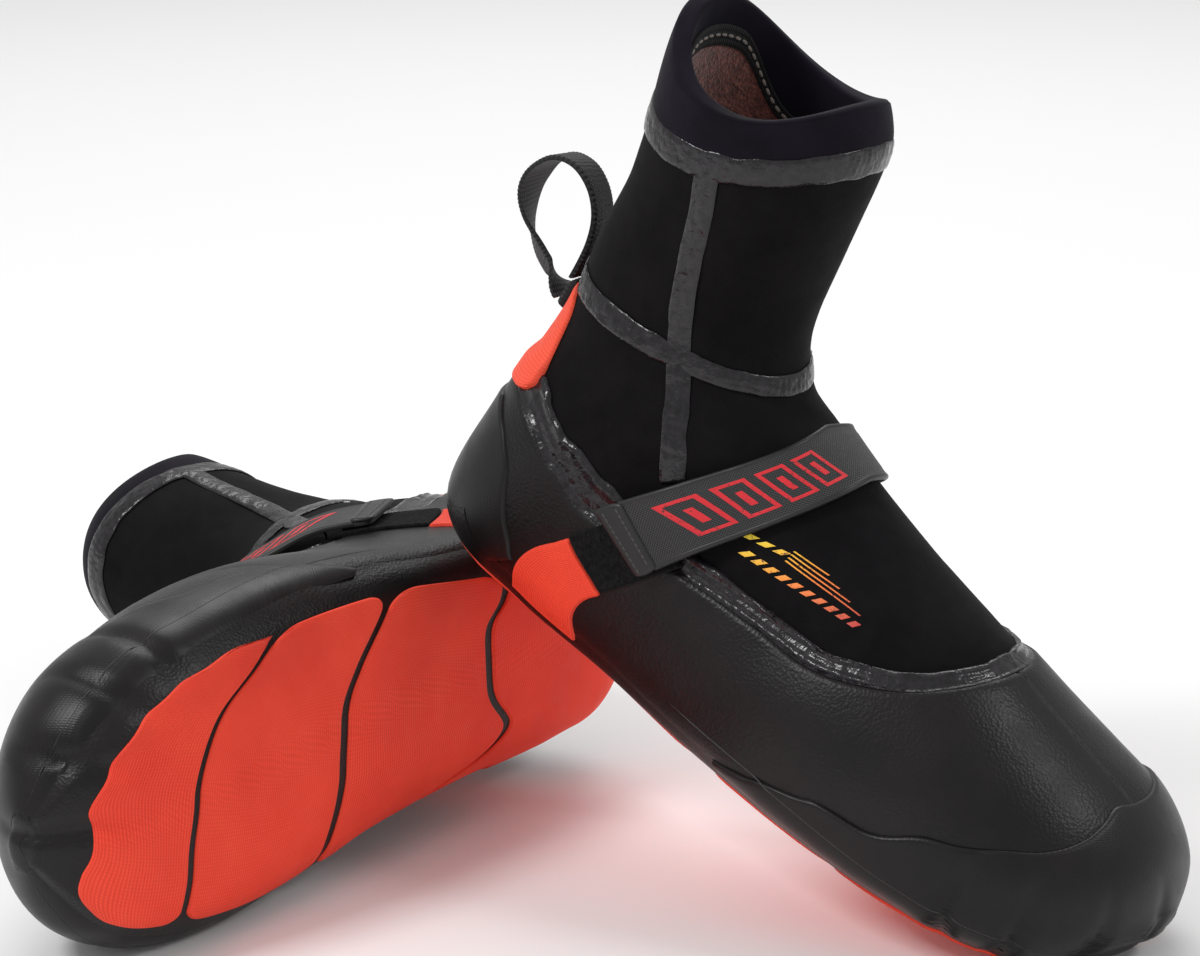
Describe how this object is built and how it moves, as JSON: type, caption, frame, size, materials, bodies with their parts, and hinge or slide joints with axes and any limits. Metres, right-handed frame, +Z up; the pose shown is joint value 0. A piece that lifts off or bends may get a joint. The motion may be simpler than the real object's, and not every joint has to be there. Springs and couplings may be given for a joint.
{
  "type": "neoprene water boots",
  "caption": "Pair of thick neoprene water boots with moulded rubber shells, soft collars, instep straps, heel pull loops and flexible grip soles, propped against each other.",
  "frame": {"origin": "on the floor, at the bottom centre of the box round the pair", "axes": "+X to the right across the pair, +Y away from the side that shows the sole of the lying boot, +Z up from the floor"},
  "size_m": [0.4003, 0.351, 0.3061],
  "materials": {
    "neoprene": "matt stretch knit over foam",
    "collar_neoprene": "smooth jersey over foam",
    "seam_tape": "glossy liquid rubber",
    "shell_rubber": "satin moulded rubber",
    "orange_rubber": "knit-textured moulded rubber",
    "plush": "short plush",
    "seam_thread": "blind-stitched thread",
    "insole_foam": "jersey-covered foam",
    "strap_fabric": "fine woven",
    "hook_and_loop": "brushed loops and hooks",
    "webbing": "ribbed webbing",
    "print": "flexible ink"
  },
  "bodies": {
    "left_boot": {"left_collar_band": "collar_neoprene", "left_shaft_front": "neoprene", "left_shaft_back": "neoprene", "left_vamp": "neoprene", "left_quarter": "neoprene", "left_collar_tape": "seam_tape", "left_ankle_tape": "seam_tape", "left_side_tapes": "seam_tape", "left_shell_bead": "seam_tape", "left_plush_lining": "plush", "left_collar_lining": "collar_neoprene", "left_inner_seam": "seam_thread", "left_insole": "insole_foam", "left_rubber_shell": "shell_rubber", "left_outsole_tray": "shell_rubber", "left_heel_counter": "shell_rubber", "left_toe_rand": "shell_rubber", "left_grip_panels": "orange_rubber", "left_outer_tab": "orange_rubber", "left_inner_tab": "orange_rubber", "left_heel_patch": "orange_rubber", "left_loop_patch": "hook_and_loop", "left_strap_anchor": "webbing", "left_instep_print": "print", "left_loop_base": "webbing"},
    "left_strap": {"left_instep_strap": "strap_fabric", "left_strap_bar": "strap_fabric", "left_hook_patch": "hook_and_loop", "left_strap_print": "print"},
    "left_pull_loop": {"left_pull_loop": "webbing"},
    "right_boot": {"right_collar_band": "collar_neoprene", "right_shaft_front": "neoprene", "right_shaft_back": "neoprene", "right_vamp": "neoprene", "right_quarter": "neoprene", "right_collar_tape": "seam_tape", "right_ankle_tape": "seam_tape", "right_side_tapes": "seam_tape", "right_shell_bead": "seam_tape", "right_plush_lining": "plush", "right_collar_lining": "collar_neoprene", "right_inner_seam": "seam_thread", "right_insole": "insole_foam", "right_rubber_shell": "shell_rubber", "right_outsole_tray": "shell_rubber", "right_heel_counter": "shell_rubber", "right_toe_rand": "shell_rubber", "right_grip_panels": "orange_rubber", "right_outer_tab": "orange_rubber", "right_inner_tab": "orange_rubber", "right_heel_patch": "orange_rubber", "right_loop_patch": "hook_and_loop", "right_strap_anchor": "webbing", "right_instep_print": "print", "right_loop_base": "webbing"},
    "right_strap": {"right_instep_strap": "strap_fabric", "right_strap_bar": "strap_fabric", "right_hook_patch": "hook_and_loop", "right_strap_print": "print"},
    "right_pull_loop": {"right_pull_loop": "webbing"}
  },
  "joints": [
    {"name": "right_boot_lift", "type": "slide", "parent": "left_boot", "child": "right_boot", "axis": [0, 0, 1], "range_m": [0, 0.25]},
    {"name": "right_strap_hinge", "type": "hinge", "parent": "right_boot", "child": "right_strap", "pos_m": [0.07898, -0.02787, 0.13539], "axis": [0.4957, -0.2722, -0.8247], "range_deg": [-95, 0]},
    {"name": "left_strap_hinge", "type": "hinge", "parent": "left_boot", "child": "left_strap", "pos_m": [-0.09222, 0.01622, 0.01554], "axis": [-0.1232, -0.9898, -0.0721], "range_deg": [0, 40]},
    {"name": "right_loop_hinge", "type": "hinge", "parent": "right_boot", "child": "right_pull_loop", "pos_m": [-0.00422, -0.01977, 0.19379], "axis": [0.6018, 0.7986, 0], "range_deg": [-30, 0], "stiffness_Nm_per_rad": 0.03},
    {"name": "left_loop_hinge", "type": "hinge", "parent": "left_boot", "child": "left_pull_loop", "pos_m": [-0.05578, 0.1011, 0.05876], "axis": [0.0138, -0.0106, -0.9998], "range_deg": [0, 30], "stiffness_Nm_per_rad": 0.03}
  ]
}
